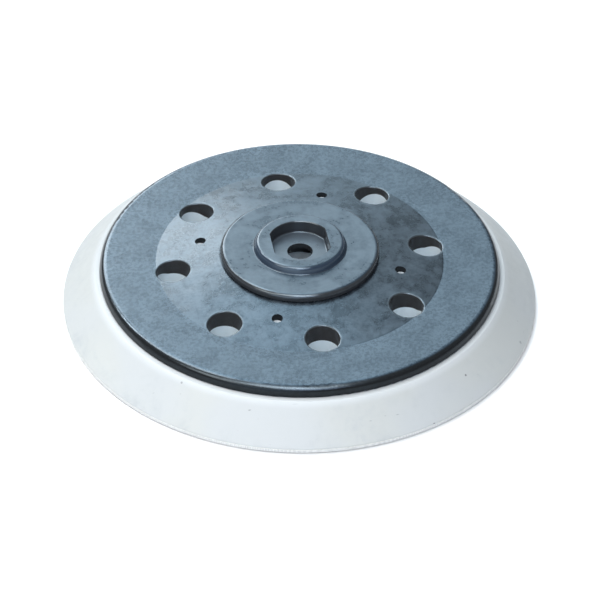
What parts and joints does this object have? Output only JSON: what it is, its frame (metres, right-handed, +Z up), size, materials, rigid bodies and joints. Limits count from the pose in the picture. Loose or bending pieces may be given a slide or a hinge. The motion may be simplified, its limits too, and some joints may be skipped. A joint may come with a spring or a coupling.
{
  "type": "orbital sander backing pad",
  "caption": "Round sanding pad: pale bevelled foam under a blue-grey moulded plate with dust holes, a central drive hub and a hook-and-loop face.",
  "frame": {"origin": "centre of the round working face, on the plane of the hook tips", "axes": "+Z up the spindle axis, out through the drive hub; +X square to the drive recess's two flats, through a dust hole"},
  "size_m": [0.1206, 0.1206, 0.0188],
  "materials": {
    "plate": "moulded glass-filled nylon, fine grain, cloudy flow marks",
    "hub": "moulded glass-filled nylon, smoother, with bright edges",
    "foam": "moulded integral-skin polyurethane foam, off-white, matte",
    "film": "hot-melt bond film, translucent white",
    "facing": "hook tape, off-white woven backing with nylon hooks"
  },
  "bodies": {
    "root": {"backing_plate": "plate", "drive_hub": "hub", "foam_pad": "foam", "bond_film": "film", "hook_facing": "facing"}
  },
  "joints": []
}
